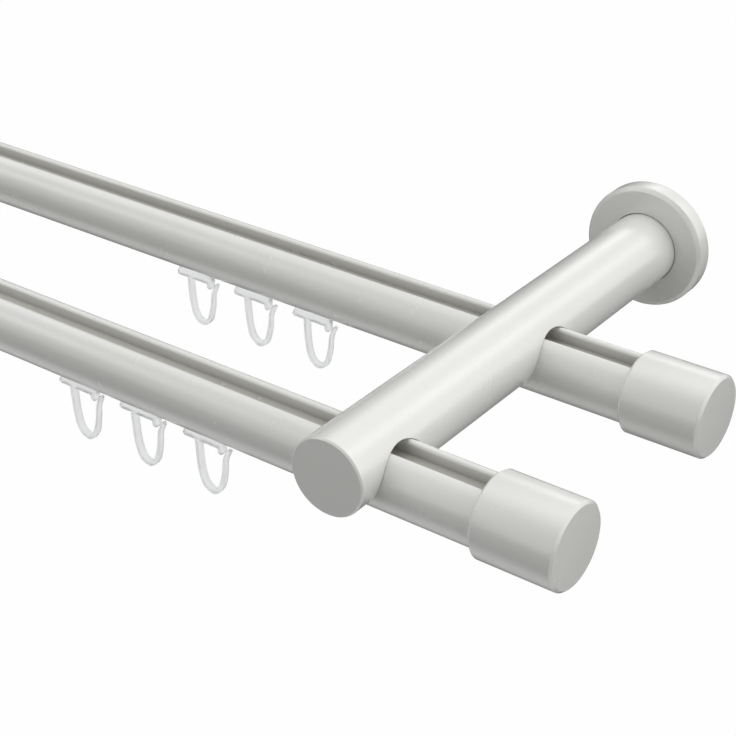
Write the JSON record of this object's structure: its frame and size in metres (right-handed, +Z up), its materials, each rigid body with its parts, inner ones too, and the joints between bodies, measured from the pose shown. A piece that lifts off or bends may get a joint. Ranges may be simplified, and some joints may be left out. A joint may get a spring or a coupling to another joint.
{
  "type": "double curtain pole",
  "caption": "Double curtain pole: front and rear round inner-track poles in wall brackets, with end caps and sliding hook gliders.",
  "frame": {"origin": "on the wall, half way between the two brackets, at the height of the bracket arms' axes", "axes": "+X along the poles to the right as seen from the room, +Y into the wall, +Z up"},
  "size_m": [1.006, 0.1689, 0.0552],
  "materials": {
    "white_lacquer": "satin white lacquer on aluminium",
    "zinc_plated_steel": "zinc plated",
    "steel_screw": "plain stainless steel",
    "glider_plastic": "milky moulded plastic, slightly translucent"
  },
  "bodies": {
    "pole_set": {"front_pole": "white_lacquer", "rear_pole": "white_lacquer", "left_arm": "white_lacquer", "left_rosette": "white_lacquer", "left_wall_plate": "zinc_plated_steel", "left_arm_screw": "steel_screw", "left_front_cap": "white_lacquer", "left_front_pole_screw": "steel_screw", "left_rear_cap": "white_lacquer", "left_rear_pole_screw": "steel_screw", "right_arm": "white_lacquer", "right_rosette": "white_lacquer", "right_wall_plate": "zinc_plated_steel", "right_arm_screw": "steel_screw", "right_front_cap": "white_lacquer", "right_front_pole_screw": "steel_screw", "right_rear_cap": "white_lacquer", "right_rear_pole_screw": "steel_screw"},
    "front_glider_1": {"front_glider_1": "glider_plastic"},
    "front_glider_2": {"front_glider_2": "glider_plastic"},
    "front_glider_3": {"front_glider_3": "glider_plastic"},
    "front_glider_4": {"front_glider_4": "glider_plastic"},
    "front_glider_5": {"front_glider_5": "glider_plastic"},
    "front_glider_6": {"front_glider_6": "glider_plastic"},
    "rear_glider_1": {"rear_glider_1": "glider_plastic"},
    "rear_glider_2": {"rear_glider_2": "glider_plastic"},
    "rear_glider_3": {"rear_glider_3": "glider_plastic"},
    "rear_glider_4": {"rear_glider_4": "glider_plastic"},
    "rear_glider_5": {"rear_glider_5": "glider_plastic"},
    "rear_glider_6": {"rear_glider_6": "glider_plastic"}
  },
  "joints": [
    {"name": "front_glider_1_slide", "type": "slide", "parent": "pole_set", "child": "front_glider_1", "axis": [1, 0, 0], "range_m": [-0.0844, 0.0067]},
    {"name": "front_glider_2_slide", "type": "slide", "parent": "pole_set", "child": "front_glider_2", "axis": [1, 0, 0], "range_m": [-0.0067, 0.0067]},
    {"name": "front_glider_3_slide", "type": "slide", "parent": "pole_set", "child": "front_glider_3", "axis": [1, 0, 0], "range_m": [-0.0067, 0.6563]},
    {"name": "front_glider_4_slide", "type": "slide", "parent": "pole_set", "child": "front_glider_4", "axis": [1, 0, 0], "range_m": [-0.6563, 0.0067]},
    {"name": "front_glider_5_slide", "type": "slide", "parent": "pole_set", "child": "front_glider_5", "axis": [1, 0, 0], "range_m": [-0.0067, 0.0067]},
    {"name": "front_glider_6_slide", "type": "slide", "parent": "pole_set", "child": "front_glider_6", "axis": [1, 0, 0], "range_m": [-0.0067, 0.0867]},
    {"name": "rear_glider_1_slide", "type": "slide", "parent": "pole_set", "child": "rear_glider_1", "axis": [1, 0, 0], "range_m": [-0.1039, 0.0067]},
    {"name": "rear_glider_2_slide", "type": "slide", "parent": "pole_set", "child": "rear_glider_2", "axis": [1, 0, 0], "range_m": [-0.0067, 0.0067]},
    {"name": "rear_glider_3_slide", "type": "slide", "parent": "pole_set", "child": "rear_glider_3", "axis": [1, 0, 0], "range_m": [-0.0067, 0.6173]},
    {"name": "rear_glider_4_slide", "type": "slide", "parent": "pole_set", "child": "rear_glider_4", "axis": [1, 0, 0], "range_m": [-0.6173, 0.0067]},
    {"name": "rear_glider_5_slide", "type": "slide", "parent": "pole_set", "child": "rear_glider_5", "axis": [1, 0, 0], "range_m": [-0.0067, 0.0067]},
    {"name": "rear_glider_6_slide", "type": "slide", "parent": "pole_set", "child": "rear_glider_6", "axis": [1, 0, 0], "range_m": [-0.0067, 0.1062]}
  ]
}
